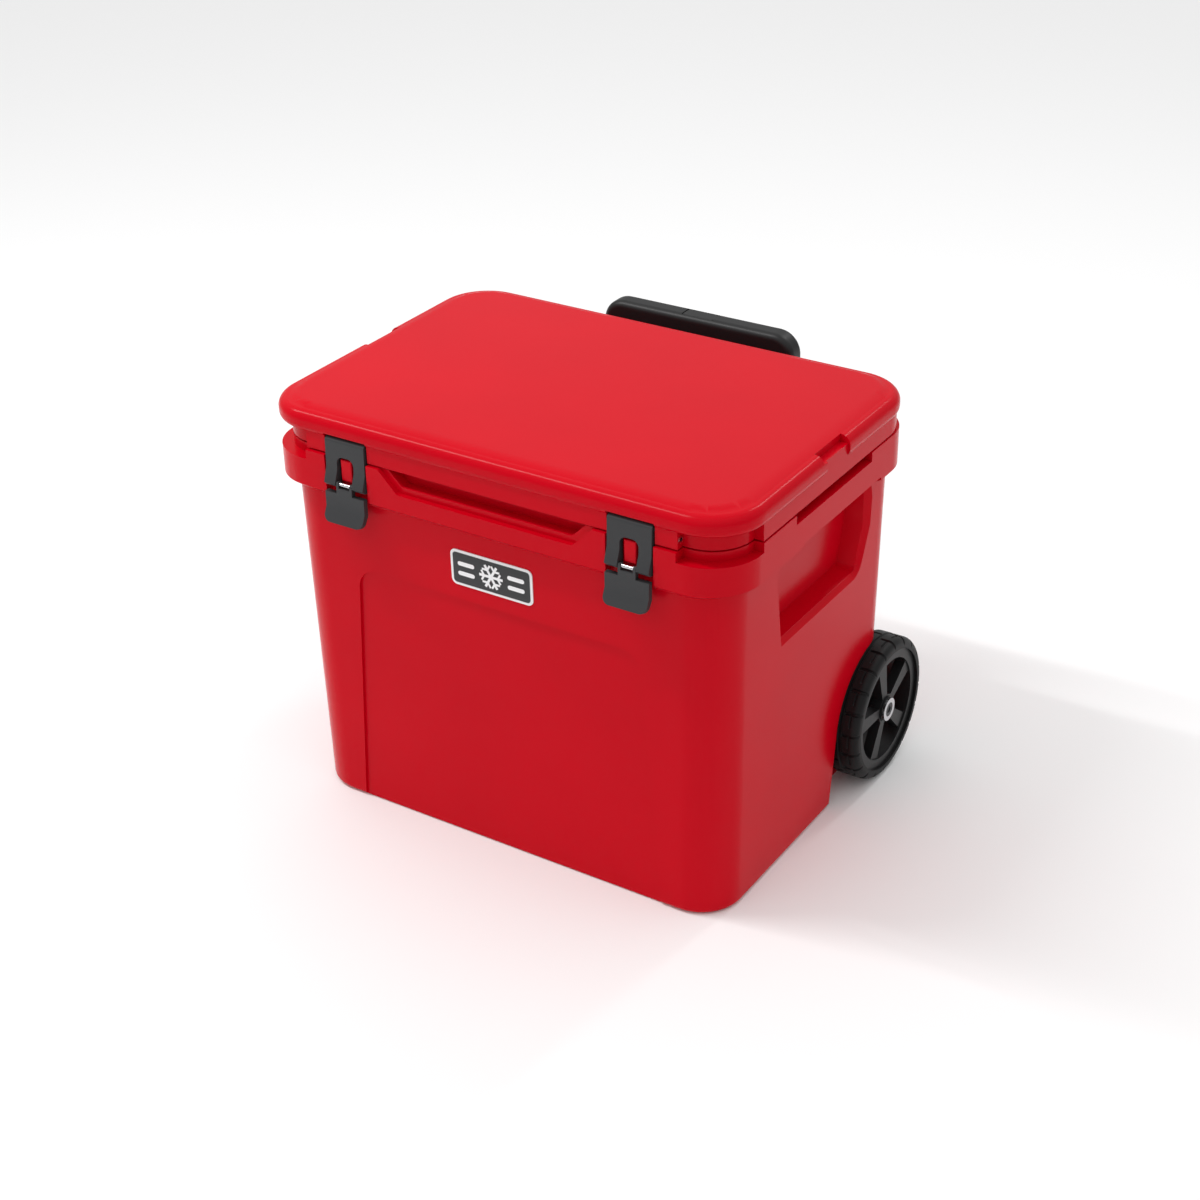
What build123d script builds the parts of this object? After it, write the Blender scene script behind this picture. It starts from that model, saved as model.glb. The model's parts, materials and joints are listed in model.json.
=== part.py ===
"""Wheeled cooler chest with a hinged lid, two pull latches and a telescoping tow handle.

Millimetres. +X is to the right of someone facing the latches, +Y points to the rear, where the
wheels and the tow handle are, and +Z is up. The origin is on the floor under the middle of the lid.
"""

import os

from build123d import *

# ---- driving dimensions ----------------------------------------------------------------------------
LID_WIDTH = 617.4
LID_DEPTH = 420.4
LID_RADIUS = 62
LID_TOP = 515
RIM_TOP = 511
RIM_BOTTOM = 485
SKIRT_BOTTOM = 468
SKIRT_INSET = 3

BODY_TOP = 411
BODY_CENTRE_Y = 7.5
BODY_FLOOR_SIZE = (568.7, 402.2)
BODY_TOP_SIZE = (580, 413)
BODY_RADIUS = 52
COLLAR_FULL = 421
COLLAR_TOP = 466
COLLAR_RADIUS = 60
COLLAR_SIZE = (613, 425.5)
COLLAR_CENTRE_Y = 1.75
COLLAR_FRONT = COLLAR_CENTRE_Y - COLLAR_SIZE[1] / 2
COLLAR_REAR = COLLAR_CENTRE_Y + COLLAR_SIZE[1] / 2
COLLAR_SIDE = COLLAR_SIZE[0] / 2

INSIDE_HALF_WIDTH = 240
INSIDE_FRONT = -156
INSIDE_REAR = 165
INSIDE_FLOOR = 58
INSIDE_RADIUS = 40
INSIDE_FILLET = 18
SKIN = 4.5
FOOT_FILLET = 8

HINGE_Y = 203
HINGE_Z = 489
LUG_RADIUS = 10
LUG_WIDTH = 40
LUG_PLACES = (-205, -75, 75, 205)
HINGE_PIN_RADIUS = 4

LATCH_X = 184.5
LATCH_WIDTH = 54
LATCH_CHANNEL = 58
STRAP_PIN = (-205, 484)
STRAP_PIN_RADIUS = 2
LEVER_PIN = (-213, 436)
LEVER_PIN_RADIUS = 2.2
WINDOW_HALF_WIDTH = 11.5
WINDOW_Z = 443
WINDOW_HEIGHT = 50
WINDOW_RADIUS = 8
LATCH_SEAT_Y = -201
LID_CHANNEL_Y = -199.5
LATCH_NECK = 21.6
CATCH_FRONT = -209.3
CATCH_WIDTH = 15
CATCH_Z = (439, 465)

CORNER_RECESS_X = 240
CORNER_RECESS_Y = -146
CORNER_RECESS_DEPTH = 14
CORNER_RECESS_BOTTOM = 455

WHEEL_Y = 177
WHEEL_Z = 91
TYRE_RADIUS = 90
RIM_RADIUS = 77
TYRE_WIDTH = 46
WHEEL_OUTER_X = 310
WELL_RADIUS = 94
WELL_FOOT_Y = 71
WELL_WALL_X = 257
AXLE_RADIUS = 6
SLEEVE_RADIUS = 8.5
BUSHING_RADIUS = 8
SPOKES = 5
SPOKE_START = 102

TUBE_X = 117
TUBE_Y = 252
OUTER_TUBE = (12, 10.6)
MIDDLE_TUBE = (10, 8.6)
TOP_TUBE = (8, 6.6)
TUBE_FOOT = 150
OUTER_TUBE_TOP = 455
RUNNING_FIT = 0.05

GRIP_HALF_WIDTH = 132
GRIP_THICKNESS = 28
GRIP_TOP = 514
GRIP_BAR = 34
GRIP_ARM = 30
GRIP_FOOT = 463

LOCK_EYE = (-201.7, 478)
LOCK_EYE_RADIUS = 3.8
LOCK_EYE_X = (228, 241)
BADGE_Z = 366
BADGE_SIZE = (108, 44)
BADGE_RADIUS = 7

SCREW_END_Y = 204.5
SCREW_PLACES = [(x, z) for x in (-75, -28, 28, 75) for z in (168, 430)]

DRAIN_Y = -110
DRAIN_Z = 70
DRAIN_SEAT_X = -284
DRAIN_BODY_RADIUS = 11
DRAIN_BORE_RADIUS = 7
DRAIN_FLANGE = (17, 3.5)
CAP_STEM = 6
DRAIN_BOSS_RADIUS = 16
SLEEVE_BOSS_RADIUS = 12
SCREW_RADIUS = 3
OUT = 320

front_slope = (BODY_TOP_SIZE[1] - BODY_FLOOR_SIZE[1]) / 2 / BODY_TOP
body_front_floor = BODY_CENTRE_Y - BODY_FLOOR_SIZE[1] / 2
front_plane = Plane(origin=(0, body_front_floor, 0), x_dir=(1, 0, 0), z_dir=(0, -1, -front_slope))
pieces = {}


def keep(name, builder):
    """Label a finished piece and remember it for export."""
    builder.part.label = name
    pieces[name] = builder.part


def block(size, radius, bottom, top, centre_y=0, mode=Mode.ADD):
    """Upright block with rounded vertical corners, centred on x = 0."""
    with BuildSketch(Plane.XY.offset(bottom)) as outline:
        with Locations((0, centre_y)):
            RectangleRounded(size[0], size[1], radius)
    extrude(outline.sketch, amount=top - bottom, mode=mode)


def span(x_half, y_front, y_rear, radius, bottom, top, mode=Mode.ADD):
    """Upright rounded block given by its half width and its front and rear."""
    block((2 * x_half, y_rear - y_front), radius, bottom, top, (y_front + y_rear) / 2, mode)


def box(low, high, mode=Mode.ADD):
    """Box between two corners."""
    size = [high[i] - low[i] for i in range(3)]
    centre = [(high[i] + low[i]) / 2 for i in range(3)]
    with Locations(Pos(*centre)):
        Box(*size, mode=mode)


def rod(start_x, end_x, y, z, radius, mode=Mode.ADD):
    """Round bar along X."""
    with BuildSketch(Plane(origin=(start_x, y, z), x_dir=(0, 1, 0), z_dir=(1, 0, 0))) as circle:
        Circle(radius)
    extrude(circle.sketch, amount=end_x - start_x, mode=mode)


def rod_back(x, z, front_y, rear_y, radius, mode=Mode.ADD):
    """Round bar along Y."""
    with BuildSketch(Plane(origin=(x, front_y, z), x_dir=(1, 0, 0), z_dir=(0, 1, 0))) as circle:
        Circle(radius)
    extrude(circle.sketch, amount=rear_y - front_y, mode=mode)


def pipe(radii, x, y, bottom, top, mode=Mode.ADD):
    """Upright tube with an outer and an inner radius."""
    with BuildSketch(Plane.XY.offset(bottom)) as ring:
        with Locations((x, y)):
            Circle(radii[0])
            if radii[1] > 0:
                Circle(radii[1], mode=Mode.SUBTRACT)
    extrude(ring.sketch, amount=top - bottom, mode=mode)


def tapered_body(inset, bottom, top, mode=Mode.ADD):
    """The tub's tapering outside form, set in by an even amount."""
    faces = []
    for height in (bottom, top):
        share = height / BODY_TOP
        width = BODY_FLOOR_SIZE[0] + share * (BODY_TOP_SIZE[0] - BODY_FLOOR_SIZE[0]) - 2 * inset
        depth = BODY_FLOOR_SIZE[1] + share * (BODY_TOP_SIZE[1] - BODY_FLOOR_SIZE[1]) - 2 * inset
        with BuildSketch(Plane.XY.offset(height)) as outline:
            with Locations((0, BODY_CENTRE_Y)):
                RectangleRounded(width, depth, BODY_RADIUS - inset)
        faces.append(outline.sketch.face())
    loft(faces, mode=mode)


def side_plane(side, x):
    """Plane across X whose sketch coordinates are (y, z); its normal points out of that side."""
    if side > 0:
        return Plane(origin=(x, 0, 0), x_dir=(0, 1, 0), z_dir=(1, 0, 0))
    return Plane(origin=(-x, 0, 0), x_dir=(0, -1, 0), z_dir=(-1, 0, 0))


def side_profile(side, x, points, depth, radii=(), taper=0, mode=Mode.SUBTRACT):
    """Outline of (y, z) points, rounded at chosen corners, cut inwards from a side plane."""
    with BuildSketch(side_plane(side, x)) as profile:
        with BuildLine():
            Polyline([(side * y, z) for y, z in points], close=True)
        make_face()
        for index, radius in radii:
            y, z = points[index]
            wanted = side_plane(side, x).from_local_coords((side * y, z))
            fillet(profile.vertices().sort_by_distance(wanted)[0], radius)
    extrude(profile.sketch, amount=-depth, taper=taper, mode=mode)


def wheel_well(side, wall_x, clearance=0, mode=Mode.SUBTRACT):
    """Space round a wheel, open to the side, the rear and the floor."""
    radius = WELL_RADIUS + clearance
    rear = BODY_CENTRE_Y + BODY_TOP_SIZE[1] / 2 + 30
    with BuildSketch(side_plane(side, wall_x)) as arch:
        with Locations((side * WHEEL_Y, WHEEL_Z)):
            Circle(radius)
        with BuildLine():
            Polyline(
                [
                    (side * (WHEEL_Y - radius), WHEEL_Z),
                    (side * (WELL_FOOT_Y - clearance), -10),
                    (side * rear, -10),
                    (side * rear, WHEEL_Z),
                ],
                close=True,
            )
        make_face()
    extrude(arch.sketch, amount=80, mode=mode)


def cut_open_corners(bottom, top):
    """Step in the two front corners, outside a rounded outline set in from the lid's edge."""
    with BuildSketch(Plane.XY.offset(bottom)) as corners:
        for side in (-1, 1):
            with Locations((side * CORNER_RECESS_X, CORNER_RECESS_Y)):
                Rectangle(100, 100, align=(Align.MIN if side > 0 else Align.MAX, Align.MAX))
        RectangleRounded(
            LID_WIDTH - 2 * CORNER_RECESS_DEPTH,
            LID_DEPTH - 2 * CORNER_RECESS_DEPTH,
            LID_RADIUS - CORNER_RECESS_DEPTH,
            mode=Mode.SUBTRACT,
        )
    extrude(corners.sketch, amount=top - bottom, mode=Mode.SUBTRACT)


def screw_holes(low, high, front_y, rear_y):
    """Holes for the bracket screws whose heights lie between two limits."""
    for x, z in SCREW_PLACES:
        if low < z < high:
            rod_back(x, z, front_y, rear_y, SCREW_RADIUS, Mode.SUBTRACT)


# ---- tub -------------------------------------------------------------------------------------------
GRIP_POCKET = [(-56, 425), (126, 425), (134, 387), (133, 358), (114, 305), (-63, 305), (-76, 388)]
POCKET_ROUNDS = [(1, 8), (3, 20), (4, 22), (5, 8), (6, 16), (0, 12)]
POCKET_LIP = [(-62, 431), (131, 431), (142, 390), (141, 354), (119, 297), (-70, 297), (-84, 390)]
LIP_ROUNDS = [(3, 26), (4, 30), (5, 14), (6, 20)]
LIP_DEPTH = 7
POCKET_BACK_X = 262
BAR_BACK_X = 283
TIE_SLOT_X = 276
TIE_SLOT_Y = (-76, 100)
TIE_SLOT_Z = 455
FINGER_GAP_Y = (-46, 106)
FINGER_GAP_Z = (395, 447)
RIB_PLACES = (-34, 82, 94)
RIB_BOTTOM = 405
RIB_THICKNESS = 3


def cut_grip_pocket(side):
    """Hand pocket under the collar, and the finger space that rises behind the collar bar."""
    side_profile(side, COLLAR_SIDE + 3, GRIP_POCKET, COLLAR_SIDE + 3 - BAR_BACK_X, POCKET_ROUNDS)
    side_profile(side, BAR_BACK_X, GRIP_POCKET, BAR_BACK_X - POCKET_BACK_X, POCKET_ROUNDS, taper=14)
    side_profile(side, BODY_TOP_SIZE[0] / 2, POCKET_LIP, LIP_DEPTH, LIP_ROUNDS, taper=45)
    near, far = sorted((side * POCKET_BACK_X, side * BAR_BACK_X))
    low, high = (near, FINGER_GAP_Y[0], FINGER_GAP_Z[0]), (far, FINGER_GAP_Y[1], FINGER_GAP_Z[1])
    box(low, high, Mode.SUBTRACT)
    for rib_y in RIB_PLACES:
        box((near, rib_y, RIB_BOTTOM), (far, rib_y + RIB_THICKNESS, FINGER_GAP_Z[1]))


COLLAR_FOAM = [(257, -187, 40, 400, 461), (284, -195, 46, 400, 451), (301, -196, 56, COLLAR_FULL + 4, 451)]
COLLAR_FOAM_REAR = 203
BRACKET_SEAT = (145, 195)
GRAB_BACKING = (146, 436)
GRAB_STEPS = [(6, 141, 114, 441), (20, 130, 111, 449)]
PANEL = [(-210, -5), (210, -5), (187.5, 325), (-187.5, 325)]
PANEL_DEPTH = 3
PANEL_RADIUS = 28

with BuildPart() as tub_foam:
    tapered_body(SKIN, 5, 405)
    # the hollow goes on up inside the collar, in three steps that clear the recesses in its skin
    for half_width, front, radius, bottom, top in COLLAR_FOAM:
        span(half_width, front, COLLAR_FOAM_REAR, radius, bottom, top)
    low = (-GRAB_BACKING[0], COLLAR_FRONT, GRAB_BACKING[1])
    high = (GRAB_BACKING[0], COLLAR_FOAM[0][1], COLLAR_TOP)
    box(low, high, Mode.SUBTRACT)
    span(
        INSIDE_HALF_WIDTH + SKIN,
        INSIDE_FRONT - SKIN,
        INSIDE_REAR + SKIN,
        INSIDE_RADIUS + SKIN,
        INSIDE_FLOOR - SKIN,
        COLLAR_TOP,
        Mode.SUBTRACT,
    )
    # kept back behind the front panel and the handle bracket seat
    with BuildSketch(front_plane) as panel_backing:
        with Locations((0, 165)):
            Rectangle(430, 350)
    extrude(panel_backing.sketch, amount=-(SKIN + PANEL_DEPTH), mode=Mode.SUBTRACT)
    box((-150, 199, 140), (150, 230, 200), Mode.SUBTRACT)
    for side in (-1, 1):
        wheel_well(side, WELL_WALL_X - 4, 4)
        near, far = sorted((side * (POCKET_BACK_X - 4), side * 330))
        box((near, -86, 296), (far, 144, COLLAR_TOP), Mode.SUBTRACT)
    rod(-OUT, OUT, WHEEL_Y, WHEEL_Z, SLEEVE_BOSS_RADIUS, Mode.SUBTRACT)
    rod(-OUT, -INSIDE_HALF_WIDTH, DRAIN_Y, DRAIN_Z, DRAIN_BOSS_RADIUS, Mode.SUBTRACT)
keep("tub_foam", tub_foam)

with BuildPart() as tub_shell:
    tapered_body(0, 0, BODY_TOP)
    # the collar's underside flares straight out of the body
    collar_rings = []
    for size, radius, centre_y, height in (
        (BODY_TOP_SIZE, BODY_RADIUS, BODY_CENTRE_Y, BODY_TOP),
        (COLLAR_SIZE, COLLAR_RADIUS, COLLAR_CENTRE_Y, COLLAR_FULL),
    ):
        with BuildSketch(Plane.XY.offset(height)) as ring:
            with Locations((0, centre_y)):
                RectangleRounded(*size, radius)
        collar_rings.append(ring.sketch.face())
    loft(collar_rings)
    block(COLLAR_SIZE, COLLAR_RADIUS, COLLAR_FULL, COLLAR_TOP, COLLAR_CENTRE_Y)
    fillet(tub_shell.edges().group_by(Axis.Z)[0], FOOT_FILLET)
    # seats for the handle brackets
    box((-BRACKET_SEAT[0], BRACKET_SEAT[1], 145), (BRACKET_SEAT[0], COLLAR_REAR, BRACKET_SEAT[1]))
    # hinge lugs
    for place in LUG_PLACES:
        half = LUG_WIDTH / 2
        box((place - half, HINGE_Y - LUG_RADIUS, 460), (place + half, COLLAR_REAR, HINGE_Z))
        rod(place - half, place + half, HINGE_Y, HINGE_Z, LUG_RADIUS)
    for place in LUG_PLACES:
        low_x, high_x = place - LUG_WIDTH / 2 - 1, place + LUG_WIDTH / 2 + 1
        rod(low_x, high_x, HINGE_Y, HINGE_Z, HINGE_PIN_RADIUS + RUNNING_FIT, Mode.SUBTRACT)
    # ice compartment
    inside = (INSIDE_HALF_WIDTH, INSIDE_FRONT, INSIDE_REAR, INSIDE_RADIUS)
    span(*inside, INSIDE_FLOOR, COLLAR_TOP + 1, Mode.SUBTRACT)
    floor_edges = tub_shell.edges().filter_by(
        lambda e: abs(e.center().Z - INSIDE_FLOOR) < 0.01 and abs(e.center().X) <= INSIDE_HALF_WIDTH
    )
    fillet(floor_edges, INSIDE_FILLET)
    # wheel wells
    for side in (-1, 1):
        wheel_well(side, WELL_WALL_X)
    # lower front panel, set in behind a rounded step
    with BuildSketch(front_plane.offset(2)) as panel:
        with BuildLine():
            Polyline(PANEL, close=True)
        make_face()
        fillet(panel.vertices().group_by(Axis.Y)[-1], PANEL_RADIUS)
    extrude(panel.sketch, amount=-(PANEL_DEPTH + 2), mode=Mode.SUBTRACT)
    # badge seat
    with BuildSketch(front_plane.offset(3)) as badge_seat:
        with Locations((0, BADGE_Z)):
            RectangleRounded(BADGE_SIZE[0] + 0.2, BADGE_SIZE[1] + 0.2, BADGE_RADIUS + 0.1)
    extrude(badge_seat.sketch, amount=-4, mode=Mode.SUBTRACT)
    # two-step finger recess under the front of the lid
    for depth, high, low, low_z in GRAB_STEPS:
        with BuildSketch(Plane.XZ.offset(-COLLAR_FRONT + 1)) as grab:
            with BuildLine():
                rise = COLLAR_TOP + 2
                Polyline([(-low, low_z), (low, low_z), (high, rise), (-high, rise)], close=True)
            make_face()
            fillet(grab.vertices().group_by(Axis.Y)[0], 7)
        extrude(grab.sketch, amount=-(depth + 1), mode=Mode.SUBTRACT)
    # latch channels with the catch that shows through each strap
    for side in (-1, 1):
        middle = side * LATCH_X
        half = LATCH_CHANNEL / 2
        low = (middle - half, COLLAR_FRONT - 2, BODY_TOP - 4)
        high = (middle + half, LATCH_SEAT_Y, COLLAR_TOP + 1)
        box(low, high, Mode.SUBTRACT)
        half = CATCH_WIDTH / 2
        box((middle - half, CATCH_FRONT, CATCH_Z[0]), (middle + half, LATCH_SEAT_Y + 1, CATCH_Z[1]))
    catch_edges = tub_shell.edges().filter_by(
        lambda e: abs(e.center().Y - CATCH_FRONT) < 0.01 and CATCH_Z[0] - 1 < e.center().Z < COLLAR_TOP
    )
    fillet(catch_edges, 1.5)
    cut_open_corners(CORNER_RECESS_BOTTOM, COLLAR_TOP + 9)
    # tie-down slots and hand grips in the sides
    for side in (-1, 1):
        near, far = sorted((side * TIE_SLOT_X, side * OUT))
        low, high = (near, TIE_SLOT_Y[0], TIE_SLOT_Z), (far, TIE_SLOT_Y[1], COLLAR_TOP + 1)
        box(low, high, Mode.SUBTRACT)
        cut_grip_pocket(side)
    # axle bore, drain bore
    rod(-WELL_WALL_X - 1, WELL_WALL_X + 1, WHEEL_Y, WHEEL_Z, SLEEVE_RADIUS, Mode.SUBTRACT)
    rod(-OUT, -INSIDE_HALF_WIDTH + 30, DRAIN_Y, DRAIN_Z, DRAIN_BODY_RADIUS, Mode.SUBTRACT)
    rod(-OUT, DRAIN_SEAT_X, DRAIN_Y, DRAIN_Z, DRAIN_FLANGE[0] + 0.5, Mode.SUBTRACT)
    screw_holes(0, LID_TOP, SCREW_END_Y, COLLAR_REAR + 1)
    add(tub_foam.part, mode=Mode.SUBTRACT)
keep("tub_shell", tub_shell)


with BuildPart() as badge_plate:
    with BuildSketch(front_plane.offset(-1)) as plate:
        with Locations((0, BADGE_Z)):
            RectangleRounded(*BADGE_SIZE, BADGE_RADIUS)
    extrude(plate.sketch, amount=2.2)
keep("badge_plate", badge_plate)

with BuildPart() as badge_inlay:
    with BuildSketch(front_plane.offset(1.2)) as inlay:
        with Locations((0, BADGE_Z)):
            RectangleRounded(BADGE_SIZE[0] - 6.5, BADGE_SIZE[1] - 6.5, BADGE_RADIUS - 3)
    extrude(inlay.sketch, amount=0.5)
keep("badge_inlay", badge_inlay)


with BuildPart() as badge_emblem:
    with BuildSketch(front_plane.offset(1.7)) as flake:
        with Locations((0, BADGE_Z)):
            with PolarLocations(0, 3):
                Rectangle(31, 3)
            for turn in range(6):
                for lean in (-1, 1):
                    with PolarLocations(9, 1, start_angle=60 * turn):
                        with Locations((0, 0)):
                            Rectangle(7, 2.4, rotation=60 * lean, align=(Align.MIN, Align.CENTER))
        for side in (-1, 1):
            for height in (-6, 6):
                with Locations((side * 33, BADGE_Z + height)):
                    RectangleRounded(22, 5, 2.4)
    extrude(flake.sketch, amount=0.5)
keep("badge_emblem", badge_emblem)


# ---- drain on the left side ------------------------------------------------------------------------
flange_x = DRAIN_SEAT_X - DRAIN_FLANGE[1]
with BuildPart() as drain_body:
    rod(DRAIN_SEAT_X, -INSIDE_HALF_WIDTH, DRAIN_Y, DRAIN_Z, DRAIN_BODY_RADIUS)
    rod(flange_x, DRAIN_SEAT_X, DRAIN_Y, DRAIN_Z, DRAIN_FLANGE[0])
    rod(flange_x - 1, -INSIDE_HALF_WIDTH + 1, DRAIN_Y, DRAIN_Z, DRAIN_BORE_RADIUS, Mode.SUBTRACT)
keep("drain_body", drain_body)

with BuildPart() as drain_gasket:
    rod(flange_x - 2, flange_x, DRAIN_Y, DRAIN_Z, 12)
    rod(flange_x - 3, flange_x + 1, DRAIN_Y, DRAIN_Z, DRAIN_BORE_RADIUS + 1, Mode.SUBTRACT)
keep("drain_gasket", drain_gasket)

with BuildPart() as drain_cap:
    cap_face = flange_x - 2.1
    rod(cap_face, cap_face + CAP_STEM, DRAIN_Y, DRAIN_Z, DRAIN_BORE_RADIUS - RUNNING_FIT)
    rod(cap_face - 4, cap_face, DRAIN_Y, DRAIN_Z, 16)
    fillet(drain_cap.edges().group_by(Axis.X)[0], 1.5)
    box((cap_face - 11, DRAIN_Y - 2.5, DRAIN_Z - 13), (cap_face - 3, DRAIN_Y + 2.5, DRAIN_Z + 13))
keep("drain_cap", drain_cap)


# ---- lid -------------------------------------------------------------------------------------------
LID_HALF_WIDTH = LID_WIDTH / 2
LID_HALF_DEPTH = LID_DEPTH / 2
PLUG = (234, -151, 157, 34)
PLUG_BOTTOM = 455
RIM_SLOPE = [(296.5, 198, 49.8, RIM_TOP), (282.5, 187, 40, LID_TOP)]
GASKET_OUTER = (251, -167, 176, 47)
GASKET_INNER = (244, -160, 169, 40)
GASKET_TOP = 471
LUG_CUT_FRONT = 188
LUG_CUT_TOP = 504
PIN_REACH = 14
PIVOT_REACH = 6
LUG_GAP = 0.6
GASKET_GAP = 0.5
NOTCH_X = 296
NOTCH_Y = (-20, 40)
NOTCH_FLOOR = 502
FACE_NOTCH_FRONT = -12

with BuildPart() as lid_foam:
    span(288, -192, 183, 48, 473, 508)
    span(PLUG[0] - 4, PLUG[1] + 4, PLUG[2] - 4, PLUG[3] - 4, PLUG_BOTTOM + 4, 474)
keep("lid_foam", lid_foam)

with BuildPart() as lid_shell:
    block((LID_WIDTH, LID_DEPTH), LID_RADIUS, RIM_BOTTOM, RIM_TOP)
    fillet(lid_shell.edges().group_by(Axis.Z)[-1], 12)
    fillet(lid_shell.edges().group_by(Axis.Z)[0], 10)
    skirt_size = (LID_WIDTH - 2 * SKIRT_INSET, LID_DEPTH - 2 * SKIRT_INSET)
    block(skirt_size, LID_RADIUS - SKIRT_INSET, SKIRT_BOTTOM, RIM_BOTTOM + 5)
    # the rim slopes gently up to the flat top
    slope = []
    for half_width, half_depth, radius, height in RIM_SLOPE:
        with BuildSketch(Plane.XY.offset(height)) as outline:
            RectangleRounded(2 * half_width, 2 * half_depth, radius)
        slope.append(outline.sketch.face())
    loft(slope)
    span(*PLUG, PLUG_BOTTOM, SKIRT_BOTTOM + 1)
    fillet(lid_shell.edges().group_by(Axis.Z)[0], 3)
    # gasket groove
    span(*GASKET_OUTER, SKIRT_BOTTOM - 1, GASKET_TOP, Mode.SUBTRACT)
    span(*GASKET_INNER, SKIRT_BOTTOM - 1, GASKET_TOP)
    cut_open_corners(SKIRT_BOTTOM - 1, RIM_BOTTOM + 4)
    for side in (-1, 1):
        # latch channel and its pivot bores
        middle = side * LATCH_X
        half = LATCH_CHANNEL / 2
        low = (middle - half, -LID_HALF_DEPTH - 2, SKIRT_BOTTOM - 1)
        high = (middle + half, LID_CHANNEL_Y, 492)
        box(low, high, Mode.SUBTRACT)
        half += PIVOT_REACH
        rod(middle - half, middle + half, *STRAP_PIN, STRAP_PIN_RADIUS, Mode.SUBTRACT)
        # padlock eye bore
        near, far = sorted((side * LOCK_EYE_X[0], side * (LOCK_EYE_X[1] + 4)))
        rod(near, far, *LOCK_EYE, LOCK_EYE_RADIUS, Mode.SUBTRACT)
        # tie-down notch in the rim
        near, far = sorted((side * NOTCH_X, side * OUT))
        box((near, NOTCH_Y[0], NOTCH_FLOOR), (far, NOTCH_Y[1], LID_TOP + 1), Mode.SUBTRACT)
        near, far = sorted((side * (LID_HALF_WIDTH - SKIRT_INSET), side * OUT))
        low, high = (near, FACE_NOTCH_FRONT, RIM_BOTTOM - 5), (far, NOTCH_Y[1], LID_TOP + 1)
        box(low, high, Mode.SUBTRACT)
    # spaces for the hinge lugs and bores for the hinge pins
    for place in LUG_PLACES:
        half = LUG_WIDTH / 2 + LUG_GAP
        box((place - half, LUG_CUT_FRONT, SKIRT_BOTTOM - 1), (place + half, 240, LUG_CUT_TOP), Mode.SUBTRACT)
        half += PIN_REACH
        rod(place - half, place + half, HINGE_Y, HINGE_Z, HINGE_PIN_RADIUS, Mode.SUBTRACT)
    add(lid_foam.part, mode=Mode.SUBTRACT)
keep("lid_shell", lid_shell)

with BuildPart() as lid_gasket:
    half_width, front, rear, radius = GASKET_OUTER
    outer = (half_width - GASKET_GAP, front + GASKET_GAP, rear - GASKET_GAP, radius - GASKET_GAP)
    span(*outer, COLLAR_TOP + GASKET_GAP, GASKET_TOP)
    half_width, front, rear, radius = GASKET_INNER
    inner = (half_width + GASKET_GAP, front - GASKET_GAP, rear + GASKET_GAP, radius + GASKET_GAP)
    span(*inner, COLLAR_TOP, GASKET_TOP + 1, Mode.SUBTRACT)
keep("lid_gasket", lid_gasket)

with BuildPart() as hinge_pins:
    for place in LUG_PLACES:
        reach = LUG_WIDTH / 2 + LUG_GAP + PIN_REACH
        rod(place - reach, place + reach, HINGE_Y, HINGE_Z, HINGE_PIN_RADIUS)
keep("hinge_pins", hinge_pins)

with BuildPart() as padlock_eyes:
    for side in (-1, 1):
        near, far = sorted((side * LOCK_EYE_X[0], side * LOCK_EYE_X[1]))
        rod(near, far, *LOCK_EYE, LOCK_EYE_RADIUS)
        rod(near - 1, far + 1, *LOCK_EYE, 2.3, Mode.SUBTRACT)
keep("padlock_eyes", padlock_eyes)

with BuildPart() as latch_pivots:
    for side in (-1, 1):
        reach = LATCH_CHANNEL / 2 + PIVOT_REACH
        rod(side * LATCH_X - reach, side * LATCH_X + reach, *STRAP_PIN, STRAP_PIN_RADIUS)
keep("latch_pivots", latch_pivots)


# ---- latches ---------------------------------------------------------------------------------------
STRAP_BACK = [(-204, 484), (-204, 430)]
STRAP_SIDE = [*STRAP_BACK, (-213, 431.8), (-217.2, 436), (-215.4, 441), (-211, 453), (-210, 484)]
LEVER_SIDE = [(-210.2, 436), (-210.2, 404), (-219, 389), (-224, 391), (-216.6, 407), (-216.2, 436)]
SHOULDER_Z = 425
STRAP_ROLL = 5
PIN_GAP = (7.5, 4.2)

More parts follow.
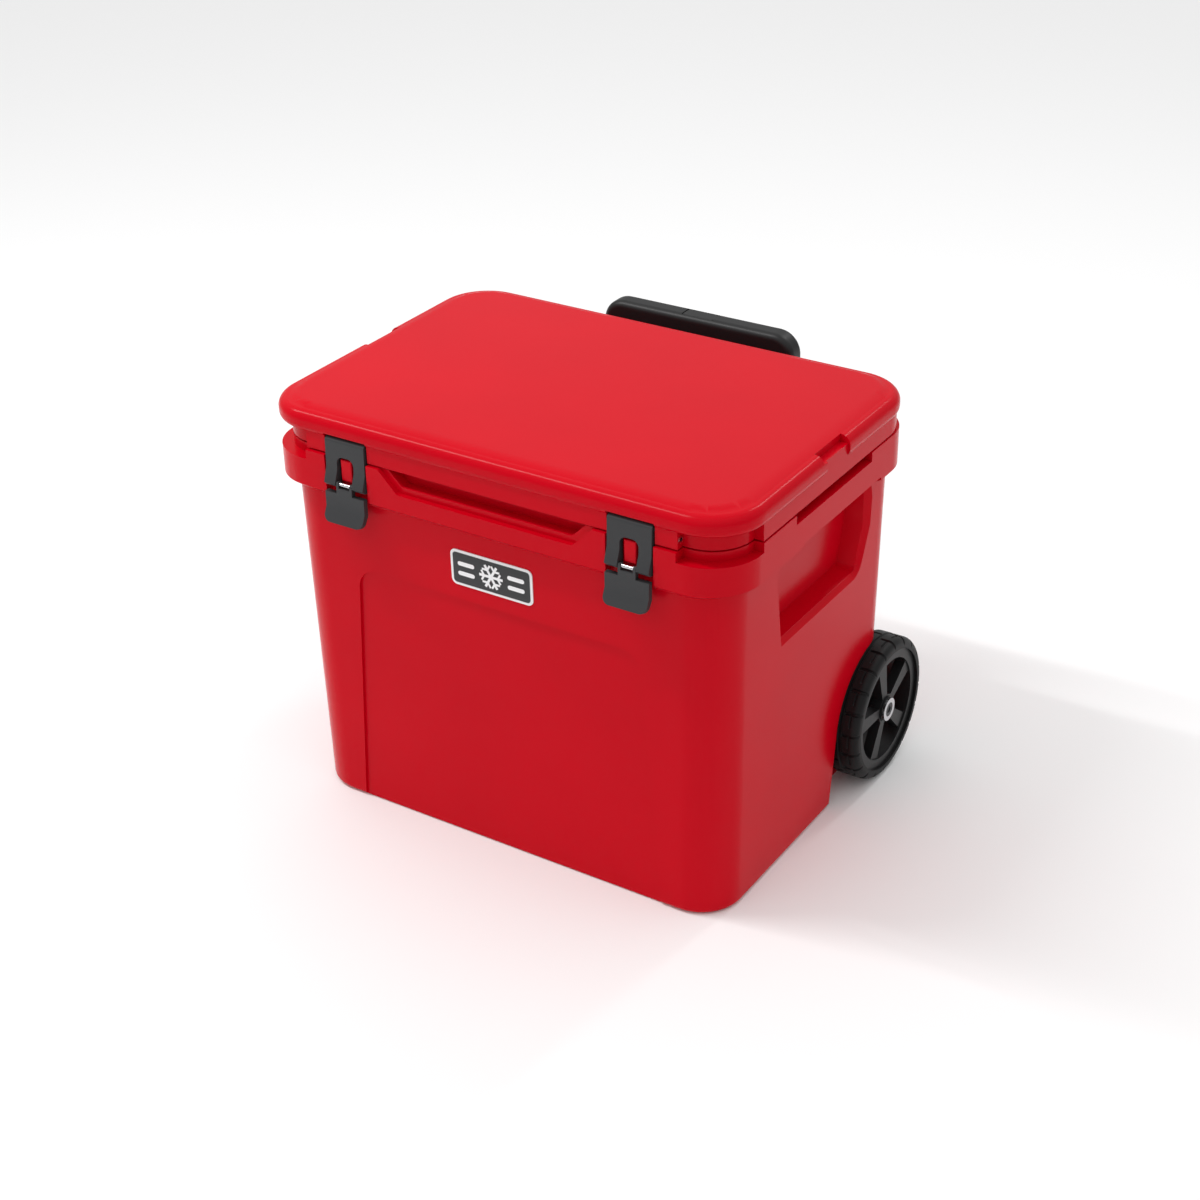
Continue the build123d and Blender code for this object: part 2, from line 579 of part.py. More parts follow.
for side, hand in ((-1, "left"), (1, "right")):
    middle = side * LATCH_X
    half = LATCH_WIDTH / 2
    right_edge = Plane(origin=(middle + half, 0, 0), x_dir=(0, 1, 0), z_dir=(1, 0, 0))
    with BuildPart() as strap:
        with BuildSketch(right_edge) as profile:
            with BuildLine():
                Polyline(STRAP_SIDE, close=True)
            make_face()
        extrude(profile.sketch, amount=-LATCH_WIDTH)
        rod(middle - half, middle + half, *STRAP_PIN, STRAP_ROLL)
        with BuildSketch(Plane.XZ.offset(230)) as window:
            with Locations((middle, WINDOW_Z)):
                RectangleRounded(2 * WINDOW_HALF_WIDTH, WINDOW_HEIGHT, WINDOW_RADIUS)
        extrude(window.sketch, amount=-40, mode=Mode.SUBTRACT)
        rod(middle - half - 1, middle + half + 1, *STRAP_PIN, STRAP_PIN_RADIUS + RUNNING_FIT, Mode.SUBTRACT)
        rod(middle - half + 3, middle + half - 3, *LEVER_PIN, LEVER_PIN_RADIUS, Mode.SUBTRACT)
    keep(f"latch_strap_{hand}", strap)

    with BuildPart() as lever:
        with BuildSketch(right_edge) as profile:
            with BuildLine():
                Polyline(LEVER_SIDE, close=True)
            make_face()
        extrude(profile.sketch, amount=-LATCH_WIDTH)
        for edge_x in (-1, 1):
            near, far = sorted((middle + edge_x * LATCH_NECK / 2, middle + edge_x * (half + 1)))
            box((near, -230, SHOULDER_Z), (far, -200, 440), Mode.SUBTRACT)
        rod(middle - LATCH_NECK / 2, middle + LATCH_NECK / 2, *LEVER_PIN, 3.2)
        # the cross pin shows in a gap between the lever's two knuckles
        low = (middle - PIN_GAP[0], -230, LEVER_PIN[1] - PIN_GAP[1])
        high = (middle + PIN_GAP[0], -200, LEVER_PIN[1] + PIN_GAP[1])
        box(low, high, Mode.SUBTRACT)
        rod(middle - half, middle + half, *LEVER_PIN, LEVER_PIN_RADIUS + RUNNING_FIT, Mode.SUBTRACT)
        low_corners = lever.edges().filter_by(Axis.X, reverse=True).group_by(Axis.Z)[0]
        fillet(low_corners.filter_by(lambda e: abs(e.center().X - middle) > half - 1), 9)
    keep(f"latch_lever_{hand}", lever)

    with BuildPart() as cross_pin:
        rod(middle - half + 3, middle + half - 3, *LEVER_PIN, LEVER_PIN_RADIUS)
    keep(f"latch_pin_{hand}", cross_pin)


# ---- axle and wheels -------------------------------------------------------------------------------
HUB_INNER_X = 263
HUB_OUTER_X = 306.5
AXLE_END_X = HUB_OUTER_X + 0.5
BARREL_RADIUS = 16
HUB_RING = 12
SPOKE_OUTLINE = [(8, -5), (RIM_RADIUS, -11), (RIM_RADIUS, 11), (8, 5)]
WEB_DEPTH = 15
BOLT_RADIUS = 9

with BuildPart() as axle_sleeve:
    rod(-WELL_WALL_X, WELL_WALL_X, WHEEL_Y, WHEEL_Z, SLEEVE_RADIUS)
    rod(-OUT, OUT, WHEEL_Y, WHEEL_Z, AXLE_RADIUS, Mode.SUBTRACT)
keep("axle_sleeve", axle_sleeve)

with BuildPart() as axle:
    rod(-AXLE_END_X, AXLE_END_X, WHEEL_Y, WHEEL_Z, AXLE_RADIUS)
keep("axle", axle)

with BuildPart() as axle_washers:
    for side in (-1, 1):
        near, far = sorted((side * WELL_WALL_X, side * (HUB_INNER_X - 0.5)))
        rod(near, far, WHEEL_Y, WHEEL_Z, 13)
        rod(near - 1, far + 1, WHEEL_Y, WHEEL_Z, AXLE_RADIUS, Mode.SUBTRACT)
keep("axle_washers", axle_washers)

with BuildPart() as axle_end_rings:
    for side in (-1, 1):
        near, far = sorted((side * AXLE_END_X, side * (AXLE_END_X + 2.5)))
        rod(near, far, WHEEL_Y, WHEEL_Z, 14.5)
        rod(near - 1, far + 1, WHEEL_Y, WHEEL_Z, BOLT_RADIUS, Mode.SUBTRACT)
keep("axle_end_rings", axle_end_rings)

with BuildPart() as axle_bolts:
    for side in (-1, 1):
        with BuildSketch(side_plane(side, AXLE_END_X)) as head:
            with Locations((side * WHEEL_Y, WHEEL_Z)):
                Circle(BOLT_RADIUS)
        extrude(head.sketch, amount=2)
        with BuildSketch(side_plane(side, AXLE_END_X + 2.5)) as socket:
            with Locations((side * WHEEL_Y, WHEEL_Z)):
                RegularPolygon(5, 6)
        extrude(socket.sketch, amount=-1.5, mode=Mode.SUBTRACT)
keep("axle_bolts", axle_bolts)

for side, hand in ((-1, "left"), (1, "right")):
    inner = side_plane(side, HUB_INNER_X)
    centre = (side * WHEEL_Y, WHEEL_Z)
    with BuildPart() as hub:
        with BuildSketch(inner) as rim:
            with Locations(centre):
                Circle(RIM_RADIUS)
                Circle(RIM_RADIUS - HUB_RING, mode=Mode.SUBTRACT)
        extrude(rim.sketch, amount=HUB_OUTER_X - HUB_INNER_X)
        with BuildSketch(inner) as barrel:
            with Locations(centre):
                Circle(BARREL_RADIUS)
        extrude(barrel.sketch, amount=HUB_OUTER_X - HUB_INNER_X)
        with BuildSketch(side_plane(side, HUB_OUTER_X - WEB_DEPTH)) as web:
            with Locations(centre):
                Circle(RIM_RADIUS - HUB_RING / 2)
        extrude(web.sketch, amount=WEB_DEPTH - 2)
        # windows between the tapered spokes
        with BuildSketch(side_plane(side, HUB_OUTER_X - WEB_DEPTH)) as windows:
            with Locations(centre):
                Circle(RIM_RADIUS - HUB_RING)
                Circle(BARREL_RADIUS + 2, mode=Mode.SUBTRACT)
                with PolarLocations(0, SPOKES, start_angle=SPOKE_START):
                    Polygon(*SPOKE_OUTLINE, align=None, mode=Mode.SUBTRACT)
            fillet(windows.vertices(), 3.5)
        extrude(windows.sketch, amount=WEB_DEPTH, mode=Mode.SUBTRACT)
        with BuildSketch(inner) as bore:
            with Locations(centre):
                Circle(BUSHING_RADIUS)
        extrude(bore.sketch, amount=HUB_OUTER_X - HUB_INNER_X, mode=Mode.SUBTRACT)
    keep(f"wheel_hub_{hand}", hub)

    with BuildPart() as bushing:
        with BuildSketch(inner) as ring:
            with Locations(centre):
                Circle(BUSHING_RADIUS)
                Circle(AXLE_RADIUS + RUNNING_FIT, mode=Mode.SUBTRACT)
        extrude(ring.sketch, amount=HUB_OUTER_X - HUB_INNER_X)
    keep(f"wheel_bushing_{hand}", bushing)

    with BuildPart() as tyre:
        with BuildSketch(side_plane(side, WHEEL_OUTER_X - TYRE_WIDTH)) as ring:
            with Locations(centre):
                Circle(TYRE_RADIUS)
        extrude(ring.sketch, amount=TYRE_WIDTH)
        fillet(tyre.edges().filter_by(GeomType.CIRCLE), 9)
        with BuildSketch(side_plane(side, WHEEL_OUTER_X - TYRE_WIDTH - 1)) as seat:
            with Locations(centre):
                Circle(RIM_RADIUS)
        extrude(seat.sketch, amount=TYRE_WIDTH + 2, mode=Mode.SUBTRACT)
    keep(f"tyre_{hand}", tyre)


# ---- tow handle ------------------------------------------------------------------------------------
BRACKET_REAR = 266
BRACKET_WEB = 9
CHANNEL_FLOOR = 485
YOKE = (491, 498)
YOKE_SIZE = (121, 4)
YOKE_CHANNEL = (124, 5)
TOP_TUBE_FOOT = 170
MIDDLE_TUBE_FOOT = 165
MIDDLE_TUBE_TOP = 452
PIN_Z = 178
LOCK_PIN_RADIUS = 2
PUSH_ROD_RADIUS = 2.5
BUTTON = (21.4, 8.6)
BUTTON_GAP = 0.4


def bracket(bottom, top, web_bottom, web_top):
    """Moulded bracket with a bore for each outer tube and a recess between them."""
    with BuildSketch(Plane.XY.offset(bottom)) as outline:
        with Locations((0, (COLLAR_REAR + BRACKET_REAR) / 2)):
            Rectangle(2 * BRACKET_SEAT[0], BRACKET_REAR - COLLAR_REAR)
        fillet(outline.vertices().group_by(Axis.Y)[-1], 14)
    extrude(outline.sketch, amount=top - bottom)
    box((-95, COLLAR_REAR + BRACKET_WEB, web_bottom), (95, BRACKET_REAR + 1, web_top), Mode.SUBTRACT)


with BuildPart() as bracket_lower:
    bracket(TUBE_FOOT - 4, 190, TUBE_FOOT + 6, 191)
    for side in (-1, 1):
        pipe((OUTER_TUBE[0], 0), side * TUBE_X, TUBE_Y, TUBE_FOOT, 191, Mode.SUBTRACT)
    screw_holes(0, 300, COLLAR_REAR - 1, COLLAR_REAR + BRACKET_WEB + 1)
keep("bracket_lower", bracket_lower)

with BuildPart() as bracket_upper:
    bracket(405, OUTER_TUBE_TOP, 404, 447)
    for side in (-1, 1):
        pipe((OUTER_TUBE[0], 0), side * TUBE_X, TUBE_Y, 404, OUTER_TUBE_TOP + 1, Mode.SUBTRACT)
    screw_holes(300, LID_TOP, COLLAR_REAR - 1, COLLAR_REAR + BRACKET_WEB + 1)
keep("bracket_upper", bracket_upper)

with BuildPart() as bracket_screws:
    for x, z in SCREW_PLACES:
        rod_back(x, z, SCREW_END_Y, COLLAR_REAR + BRACKET_WEB, SCREW_RADIUS)
        rod_back(x, z, COLLAR_REAR + BRACKET_WEB, COLLAR_REAR + BRACKET_WEB + 4, 2 * SCREW_RADIUS)
keep("bracket_screws", bracket_screws)

with BuildPart() as push_rods:
    for side in (-1, 1):
        pipe((PUSH_ROD_RADIUS, 0), side * TUBE_X, TUBE_Y, 185, YOKE[0])
keep("push_rods", push_rods)

for side, hand in ((-1, "left"), (1, "right")):
    place = (side * TUBE_X, TUBE_Y)
    pin_bore = (*sorted((side * TUBE_X, side * (TUBE_X + 12))), TUBE_Y, PIN_Z, LOCK_PIN_RADIUS + 0.1)
    with BuildPart() as tube:
        pipe(OUTER_TUBE, *place, TUBE_FOOT, OUTER_TUBE_TOP)
    keep(f"outer_tube_{hand}", tube)
    with BuildPart() as guide:
        pipe((OUTER_TUBE[1], MIDDLE_TUBE[0] + RUNNING_FIT), *place, 430, OUTER_TUBE_TOP)
        pipe((OUTER_TUBE[0], MIDDLE_TUBE[0] + RUNNING_FIT), *place, OUTER_TUBE_TOP, OUTER_TUBE_TOP + 3)
    keep(f"outer_guide_{hand}", guide)
    with BuildPart() as tube:
        pipe(MIDDLE_TUBE, *place, MIDDLE_TUBE_FOOT, MIDDLE_TUBE_TOP)
    keep(f"middle_tube_{hand}", tube)
    with BuildPart() as guide:
        pipe((OUTER_TUBE[1] - RUNNING_FIT, MIDDLE_TUBE[0]), *place, MIDDLE_TUBE_FOOT, MIDDLE_TUBE_FOOT + 25)
    keep(f"middle_shoe_{hand}", guide)
    with BuildPart() as guide:
        pipe((MIDDLE_TUBE[1], TOP_TUBE[0] + RUNNING_FIT), *place, 428, MIDDLE_TUBE_TOP)
        pipe((MIDDLE_TUBE[0] - 0.1, TOP_TUBE[0] + RUNNING_FIT), *place, MIDDLE_TUBE_TOP, MIDDLE_TUBE_TOP + 2)
    keep(f"middle_guide_{hand}", guide)
    with BuildPart() as tube:
        pipe(TOP_TUBE, *place, TOP_TUBE_FOOT, CHANNEL_FLOOR - 1)
        rod(*pin_bore, Mode.SUBTRACT)
    keep(f"top_tube_{hand}", tube)
    with BuildPart() as guide:
        pipe((MIDDLE_TUBE[1] - RUNNING_FIT, TOP_TUBE[0]), *place, TOP_TUBE_FOOT, TOP_TUBE_FOOT + 25)
        rod(*pin_bore, Mode.SUBTRACT)
    keep(f"top_shoe_{hand}", guide)
    with BuildPart() as pin:
        rod(*sorted((side * (TUBE_X + 0.5), side * (TUBE_X + 8.3))), TUBE_Y, PIN_Z, LOCK_PIN_RADIUS)
    keep(f"lock_pin_{hand}", pin)

bar_bottom = GRIP_TOP - GRIP_BAR
gap_width = 2 * (GRIP_HALF_WIDTH - GRIP_ARM)
for name, rear in (("grip_front", False), ("grip_rear", True)):
    with BuildPart() as grip:
        with BuildSketch(Plane.XZ.offset(-(TUBE_Y + GRIP_THICKNESS / 2))) as outline:
            with Locations((0, (GRIP_TOP + GRIP_FOOT) / 2)):
                Rectangle(2 * GRIP_HALF_WIDTH, GRIP_TOP - GRIP_FOOT)
            fillet(outline.vertices().group_by(Axis.Y)[-1], 28)
            with Locations((0, (bar_bottom + GRIP_FOOT - 10) / 2)):
                RectangleRounded(gap_width, bar_bottom - GRIP_FOOT + 10, 8, mode=Mode.SUBTRACT)
        extrude(outline.sketch, amount=GRIP_THICKNESS)
        face_edges = grip.edges().filter_by(
            lambda e: abs(abs(e.center().Y - TUBE_Y) - GRIP_THICKNESS / 2) < 0.01
        )
        fillet(face_edges, 8)
        low = (-YOKE_CHANNEL[0], TUBE_Y - YOKE_CHANNEL[1], CHANNEL_FLOOR)
        high = (YOKE_CHANNEL[0], TUBE_Y + YOKE_CHANNEL[1], YOKE[1] + 1)
        box(low, high, Mode.SUBTRACT)
        half_width, half_depth = BUTTON[0] + BUTTON_GAP, BUTTON[1] + BUTTON_GAP
        low = (-half_width, TUBE_Y - half_depth, YOKE[1] - 5)
        high = (half_width, TUBE_Y + half_depth, GRIP_TOP + 1)
        box(low, high, Mode.SUBTRACT)
        for side in (-1, 1):
            pipe((TOP_TUBE[0], 0), side * TUBE_X, TUBE_Y, GRIP_FOOT - 1, CHANNEL_FLOOR - 1, Mode.SUBTRACT)
            pipe((4, 0), side * TUBE_X, TUBE_Y, CHANNEL_FLOOR - 2, CHANNEL_FLOOR + 1, Mode.SUBTRACT)
        split(bisect_by=Plane.XZ.offset(-TUBE_Y), keep=Keep.BOTTOM if rear else Keep.TOP)
    keep(name, grip)

with BuildPart() as release_yoke:
    box((-YOKE_SIZE[0], TUBE_Y - YOKE_SIZE[1], YOKE[0]), (YOKE_SIZE[0], TUBE_Y + YOKE_SIZE[1], YOKE[1]))
keep("release_yoke", release_yoke)

with BuildPart() as release_button:
    box((-BUTTON[0], TUBE_Y - BUTTON[1], YOKE[1]), (BUTTON[0], TUBE_Y + BUTTON[1], GRIP_TOP - 0.5))
    fillet(release_button.edges().filter_by(Axis.Z), 3)
    fillet(release_button.edges().group_by(Axis.Z)[-1], 1)
keep("release_button", release_button)

with BuildPart() as button_spring:
    pipe((4, 3), 0, TUBE_Y, CHANNEL_FLOOR, YOKE[0])
keep("button_spring", button_spring)

os.makedirs("parts", exist_ok=True)
for name, part in pieces.items():
    export_step(part, f"parts/{name}.step")
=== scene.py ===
import json
import math

import bmesh
import bpy
from mathutils import Matrix, Vector

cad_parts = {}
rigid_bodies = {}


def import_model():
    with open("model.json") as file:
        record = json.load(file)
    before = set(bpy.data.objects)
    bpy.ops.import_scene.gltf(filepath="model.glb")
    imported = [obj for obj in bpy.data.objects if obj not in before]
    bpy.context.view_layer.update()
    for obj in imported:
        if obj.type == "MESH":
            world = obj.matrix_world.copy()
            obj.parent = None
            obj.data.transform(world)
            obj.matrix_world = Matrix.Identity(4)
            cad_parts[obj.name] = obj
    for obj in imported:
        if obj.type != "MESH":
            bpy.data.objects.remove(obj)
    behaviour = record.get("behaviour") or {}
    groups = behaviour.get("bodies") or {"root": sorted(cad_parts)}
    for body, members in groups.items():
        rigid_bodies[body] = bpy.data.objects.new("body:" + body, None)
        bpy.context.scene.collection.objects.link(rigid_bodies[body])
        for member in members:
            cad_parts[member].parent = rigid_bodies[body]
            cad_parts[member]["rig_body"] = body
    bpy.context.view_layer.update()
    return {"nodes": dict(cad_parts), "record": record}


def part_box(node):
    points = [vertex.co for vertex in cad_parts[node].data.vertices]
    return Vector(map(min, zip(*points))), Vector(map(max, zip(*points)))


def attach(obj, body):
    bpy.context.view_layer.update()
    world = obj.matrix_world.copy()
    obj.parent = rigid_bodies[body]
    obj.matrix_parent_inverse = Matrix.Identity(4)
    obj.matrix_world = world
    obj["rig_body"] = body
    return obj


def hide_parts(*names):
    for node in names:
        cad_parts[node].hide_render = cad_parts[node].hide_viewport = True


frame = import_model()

nodes = frame["nodes"]
scene = bpy.context.scene


# ---- camera ----------------------------------------------------------------------------------------
CAMERA_PLACE = (1.21625, -1.84719, 1.49279)
CAMERA_RIGHT = (0.8428, 0.5379, -0.0184)
CAMERA_BACK = (0.4757, -0.7286, 0.4930)
SENSOR_WIDTH = 36
LENS = 64.35


def make_camera():
    """Camera at the photograph's place and angle, from its right and back directions."""
    data = bpy.data.cameras.new("camera")
    data.sensor_width = SENSOR_WIDTH
    data.lens = LENS
    camera = bpy.data.objects.new("camera", data)
    right = Vector(CAMERA_RIGHT).normalized()
    back = Vector(CAMERA_BACK).normalized()
    up = back.cross(right).normalized()
    right = up.cross(back)
    turn = Matrix((right, up, back)).transposed().to_4x4()
    camera.matrix_world = Matrix.Translation(CAMERA_PLACE) @ turn
    scene.collection.objects.link(camera)
    scene.camera = camera


make_camera()


# ---- floor and light -------------------------------------------------------------------------------
def area_light(name, place, target, size, power, along):
    """Rectangular soft light that faces a target, with its long side along a direction."""
    data = bpy.data.lights.new(name, "AREA")
    data.shape = "RECTANGLE"
    data.size, data.size_y = size
    data.energy = power
    light = bpy.data.objects.new(name, data)
    back = (Vector(place) - Vector(target)).normalized()
    across = (Vector(along) - back * back.dot(Vector(along))).normalized()
    turn = Matrix((across, back.cross(across), back)).transposed().to_4x4()
    light.matrix_world = Matrix.Translation(place) @ turn
    scene.collection.objects.link(light)


SKY_AT_HORIZON = 0.45
SKY_OVERHEAD = 1.1
FLOOR_HALF = 6.0
FLOOR_SHADE = 0.9


def make_stage():
    """Pale floor, a studio sky that is brighter overhead, and two strip lights."""
    mesh = bpy.data.meshes.new("floor")
    half = FLOOR_HALF
    corners = [(-half, -half, 0), (half, -half, 0), (half, half, 0), (-half, half, 0)]
    mesh.from_pydata(corners, [], [(0, 1, 2, 3)])
    floor = bpy.data.objects.new("floor", mesh)
    scene.collection.objects.link(floor)
    surface = bpy.data.materials.new("floor")
    surface.use_nodes = True
    shader = surface.node_tree.nodes["Principled BSDF"]
    shader.inputs["Base Color"].default_value = (FLOOR_SHADE, FLOOR_SHADE, FLOOR_SHADE, 1)
    shader.inputs["Roughness"].default_value = 0.9
    mesh.materials.append(surface)
    world = bpy.data.worlds.new("studio")
    world.use_nodes = True
    tree = world.node_tree
    background = tree.nodes["Background"]
    background.inputs["Color"].default_value = (1, 1, 1, 1)
    direction = tree.nodes.new("ShaderNodeTexCoord")
    split = tree.nodes.new("ShaderNodeSeparateXYZ")
    tree.links.new(direction.outputs["Generated"], split.inputs["Vector"])
    height = tree.nodes.new("ShaderNodeMapRange")
    height.inputs["From Min"].default_value = 0.1
    height.inputs["From Max"].default_value = 0.9
    height.inputs["To Min"].default_value = SKY_AT_HORIZON
    height.inputs["To Max"].default_value = SKY_OVERHEAD
    tree.links.new(split.outputs["Z"], height.inputs["Value"])
    tree.links.new(height.outputs["Result"], background.inputs["Strength"])
    scene.world = world
    scene.view_settings.view_transform = "Standard"
    area_light("key", (-1.3, -0.7, 2.4), (0, 0, 0.45), (1.6, 0.06), 30, (1, 0, 0))
    area_light("rim", (0.6, 1.9, 2.3), (0.1, 0, 0.5), (0.9, 0.06), 8, (0, 1, 0))


make_stage()


# ---- materials -------------------------------------------------------------------------------------
def shader_of(material):
    return material.node_tree.nodes["Principled BSDF"]


def plastic(name, colour, roughness, grain=0.35, grain_scale=900, mottle=0.06, ior=1.5, specular=0.5):
    """Moulded plastic: slight colour drift, a fine pebble grain and uneven gloss."""
    material = bpy.data.materials.new(name)
    material.use_nodes = True
    tree = material.node_tree
    shader = shader_of(material)
    shader.inputs["Specular IOR Level"].default_value = specular
    shader.inputs["IOR"].default_value = ior
    place = tree.nodes.new("ShaderNodeTexCoord")
    drift = tree.nodes.new("ShaderNodeTexNoise")
    drift.inputs["Scale"].default_value = 6
    drift.inputs["Detail"].default_value = 4
    tree.links.new(place.outputs["Object"], drift.inputs["Vector"])
    tint = tree.nodes.new("ShaderNodeValToRGB")
    low = tuple(c * (1 - mottle) for c in colour)
    high = tuple(min(1, c * (1 + mottle)) for c in colour)
    tint.color_ramp.elements[0].position = 0.3
    tint.color_ramp.elements[1].position = 0.7
    tint.color_ramp.elements[0].color = (*low, 1)
    tint.color_ramp.elements[1].color = (*high, 1)
    tree.links.new(drift.outputs["Fac"], tint.inputs["Fac"])
    tree.links.new(tint.outputs["Color"], shader.inputs["Base Color"])
    fine = tree.nodes.new("ShaderNodeTexNoise")
    fine.inputs["Scale"].default_value = grain_scale
    fine.inputs["Detail"].default_value = 2
    tree.links.new(place.outputs["Object"], fine.inputs["Vector"])
    gloss = tree.nodes.new("ShaderNodeMapRange")
    gloss.inputs["To Min"].default_value = roughness - 0.05
    gloss.inputs["To Max"].default_value = roughness + 0.06
    tree.links.new(fine.outputs["Fac"], gloss.inputs["Value"])
    tree.links.new(gloss.outputs["Result"], shader.inputs["Roughness"])
    bump = tree.nodes.new("ShaderNodeBump")
    bump.inputs["Strength"].default_value = grain
    bump.inputs["Distance"].default_value = 0.0002
    tree.links.new(fine.outputs["Fac"], bump.inputs["Height"])
    tree.links.new(bump.outputs["Normal"], shader.inputs["Normal"])
    return material


red = plastic("red_shell", (0.56, 0.0003, 0.009), 0.2, grain=0.06, mottle=0.03, ior=1.25, specular=0.25)
charcoal = plastic("latch_charcoal", (0.04, 0.041, 0.043), 0.45, grain=0.2, specular=0.25)
black = plastic("black_nylon", (0.009, 0.009, 0.0095), 0.4, grain=0.3, specular=0.3)
white = plastic("badge_white", (0.85, 0.85, 0.86), 0.4, grain=0.1, mottle=0.02)
rubber = plastic("tyre_rubber", (0.005, 0.005, 0.0053), 0.5, grain=0.4, specular=0.2)
# dark steel for the dark bolts, and also used as painted shade on the latch pivots
dark_steel_and_painted_shade = plastic("dark_steel_and_painted_shade", (0.05, 0.05, 0.053), 0.35, grain=0.1)
shader_of(dark_steel_and_painted_shade).inputs["Metallic"].default_value = 1
steel = plastic("steel", (0.6, 0.6, 0.62), 0.25, grain=0.1)
shader_of(steel).inputs["Metallic"].default_value = 1
anodised = plastic("anodised_tube", (0.05, 0.05, 0.054), 0.35, grain=0.1)
shader_of(anodised).inputs["Metallic"].default_value = 1
foam = plastic("foam", (0.8, 0.72, 0.5), 0.9, grain=0.8, grain_scale=300)

FINISH = {
    "red_shell": red,
    "latch_polymer": charcoal,
    "black_polymer": black,
    "grip_polymer": black,
    "badge_border": white,
    "badge_field": charcoal,
    "tyre": rubber,
    "wheel_polymer": black,
    "pin_steel": steel,
    "dark_bolt": dark_steel_and_painted_shade,
    "slide_polymer": black,
    "gasket_rubber": rubber,
    "tube_aluminium": anodised,
    "foam": foam,
}


def dress(obj, material):
    """Put one material on every slot of an object."""
    obj.data.materials.clear()
    obj.data.materials.append(material)


slot_of = {entry["node"]: entry["material_slot"] for entry in frame["record"]["subparts"]}
for node, slot in slot_of.items():
    dress(nodes[node], FINISH[slot])
# painted shade: the pivots lie in shadow, deep in the latch channels, so the dark steel is put on them
# to paint that shade
dress(nodes["latch_pivots"], dark_steel_and_painted_shade)


# ---- softened mouldings ----------------------------------------------------------------------------
FLAT_ANGLE = 0.4
ROOM = 1.6


def softened(node, width, segments=3, angle=28):
    """Copy of a CAD node whose flat faces are merged and whose roomy sharp edges are rounded."""
    source = nodes[node]
    mesh = source.data.copy()
    piece = bpy.data.objects.new(f"{node}_soft", mesh)
    scene.collection.objects.link(piece)
    form = bmesh.new()
    form.from_mesh(mesh)
    bmesh.ops.remove_doubles(form, verts=form.verts, dist=1e-6)
    bmesh.ops.dissolve_limit(
        form,
        angle_limit=math.radians(FLAT_ANGLE),
        verts=form.verts,
        edges=form.edges,
        use_dissolve_boundaries=False,
    )
    weight = form.edges.layers.float.new("bevel_weight_edge")
    # only edges with room beside them are rounded: one short cross edge would clamp all of them
    limit = math.radians(angle)
    sharp = {
        edge for edge in form.edges if len(edge.link_faces) == 2 and edge.calc_face_angle() > limit
    }
    roomy = {
        vert
        for vert in form.verts
        if all(edge in sharp or edge.calc_length() > ROOM * width for edge in vert.link_edges)
    }
    for edge in sharp:
        edge[weight] = 1.0 if all(vert in roomy for vert in edge.verts) else 0.0
    form.to_mesh(mesh)
    form.free()
    mesh.shade_smooth()
    bevel = piece.modifiers.new("rounding", "BEVEL")
    bevel.width = width
    bevel.segments = segments
    bevel.limit_method = "WEIGHT"
    bevel.harden_normals = False
    bevel.miter_outer = "MITER_ARC"
    normals = piece.modifiers.new("normals", "WEIGHTED_NORMAL")
    normals.keep_sharp = True
    normals.weight = 100
    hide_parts(node)
    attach(piece, source["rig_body"])


SOFT_EDGES = {
    "tub_shell": 0.0014,
    "lid_shell": 0.0014,
    "latch_strap_left": 0.0012,
    "latch_strap_right": 0.0012,
    "latch_lever_left": 0.0008,
    "latch_lever_right": 0.0008,
    "wheel_hub_left": 0.0012,
    "wheel_hub_right": 0.0012,
    "bracket_lower": 0.002,
    "bracket_upper": 0.002,
    "drain_cap": 0.001,
}
for node, width in SOFT_EDGES.items():
    softened(node, width)


# ---- tyres -----------------------------------------------------------------------------------------
TREAD_BLOCKS = 20
TREAD_DEPTH = 0.0022
STEPS_PER_BLOCK = 24
SHOULDER = 0.009
SHOULDER_STEPS = 6
CROWN_STEPS = 24
SHOULDER_REACH = 0.0075
# shares of the half width, or of a block's length
GROOVE_START = 0.12
GROOVE_HALF = 0.05
CENTRE_LINE = 0.09
SIPE = (0.5, 0.56)
SIPE_LENGTH = 0.62


def ring_profile(half_width, inner, outer, shoulder):
    """Section of a tyre from one bead over the tread to the other: (across, radius) points."""
    edge = outer - shoulder
    points = [(-half_width, inner), (-half_width, (inner + edge) / 2), (-half_width, edge)]
    for step in range(1, SHOULDER_STEPS):
        turn = math.radians(90 * step / SHOULDER_STEPS)
        across = -half_width + shoulder * (1 - math.cos(turn))
        points.append((across, outer - shoulder * (1 - math.sin(turn))))
    side = list(points)
    flat = half_width - shoulder
    points += [(-flat + 2 * flat * step / CROWN_STEPS, outer) for step in range(CROWN_STEPS + 1)]
    points += [(-across, radius) for across, radius in reversed(side)]
    return points


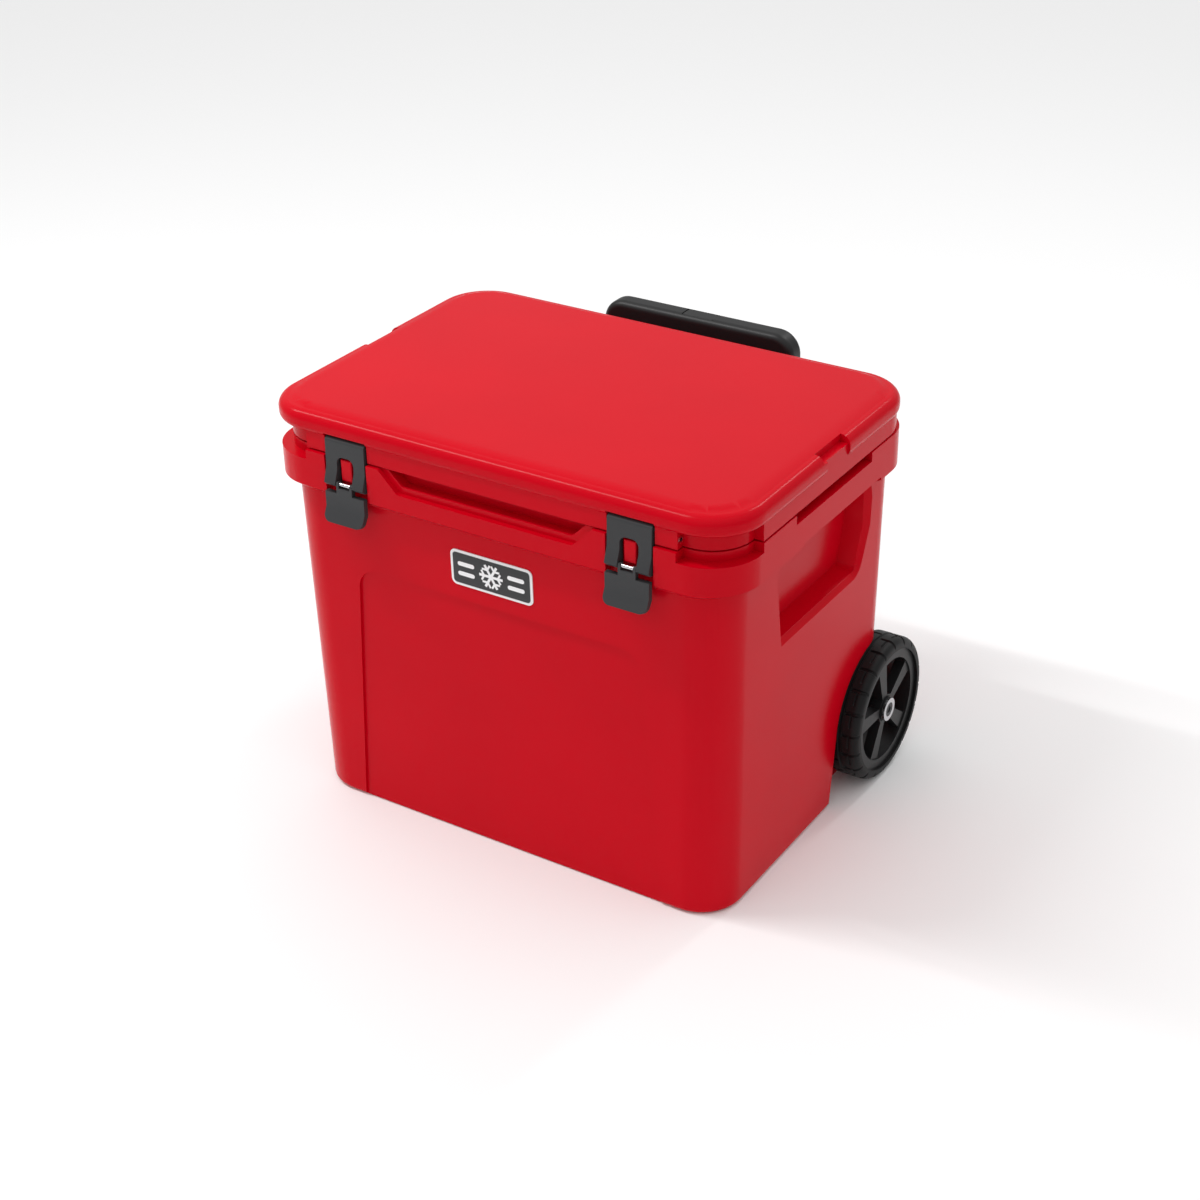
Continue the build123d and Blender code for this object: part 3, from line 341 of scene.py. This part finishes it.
def groove_at(across, turn, half_width):
    """How deep the tread is cut here, from 0 to 1: staggered side grooves and a centre line."""
    pitch = 2 * math.pi / TREAD_BLOCKS
    side = 1 if across > 0 else -1
    phase = (turn / pitch + (0.25 if side > 0 else 0.75)) % 1.0
    depth = 0.0
    reach = abs(across) / half_width
    if reach > GROOVE_START and min(phase, 1 - phase) < GROOVE_HALF:
        depth = 1.0
    if reach < CENTRE_LINE:
        depth = max(depth, 0.8)
    if SIPE[0] < reach < SIPE[1] and phase < SIPE_LENGTH:
        depth = max(depth, 0.7)
    return depth


def make_tyre(hand):
    """Solid tyre with two staggered rows of blocks that run over its shoulders."""
    node = f"tyre_{hand}"
    low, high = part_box(node)
    centre = (Vector(low) + Vector(high)) / 2
    half_width = (high[0] - low[0]) / 2
    outer = (high[2] - low[2]) / 2
    hub_low, hub_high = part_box(f"wheel_hub_{hand}")
    inner = (hub_high[2] - hub_low[2]) / 2
    profile = ring_profile(half_width, inner, outer, SHOULDER)
    turns = TREAD_BLOCKS * STEPS_PER_BLOCK
    form = bmesh.new()
    rings = []
    for number in range(turns):
        turn = 2 * math.pi * number / turns
        ring = []
        for across, radius in profile:
            if radius > outer - SHOULDER_REACH:
                radius -= TREAD_DEPTH * groove_at(across, turn, half_width)
            y, z = radius * math.cos(turn), radius * math.sin(turn)
            ring.append(form.verts.new((centre.x + across, centre.y + y, centre.z + z)))
        rings.append(ring)
    count = len(profile)
    for number in range(turns):
        here, there = rings[number], rings[(number + 1) % turns]
        for index in range(count):
            after = (index + 1) % count
            form.faces.new((here[index], here[after], there[after], there[index]))
    bmesh.ops.recalc_face_normals(form, faces=form.faces)
    mesh = bpy.data.meshes.new(f"{node}_tread")
    form.to_mesh(mesh)
    form.free()
    piece = bpy.data.objects.new(f"{node}_tread", mesh)
    scene.collection.objects.link(piece)
    mesh.shade_smooth()
    mesh.set_sharp_from_angle(angle=math.radians(35))
    mesh.materials.append(rubber)
    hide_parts(node)
    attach(piece, nodes[node]["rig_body"])


for hand in ("left", "right"):
    make_tyre(hand)
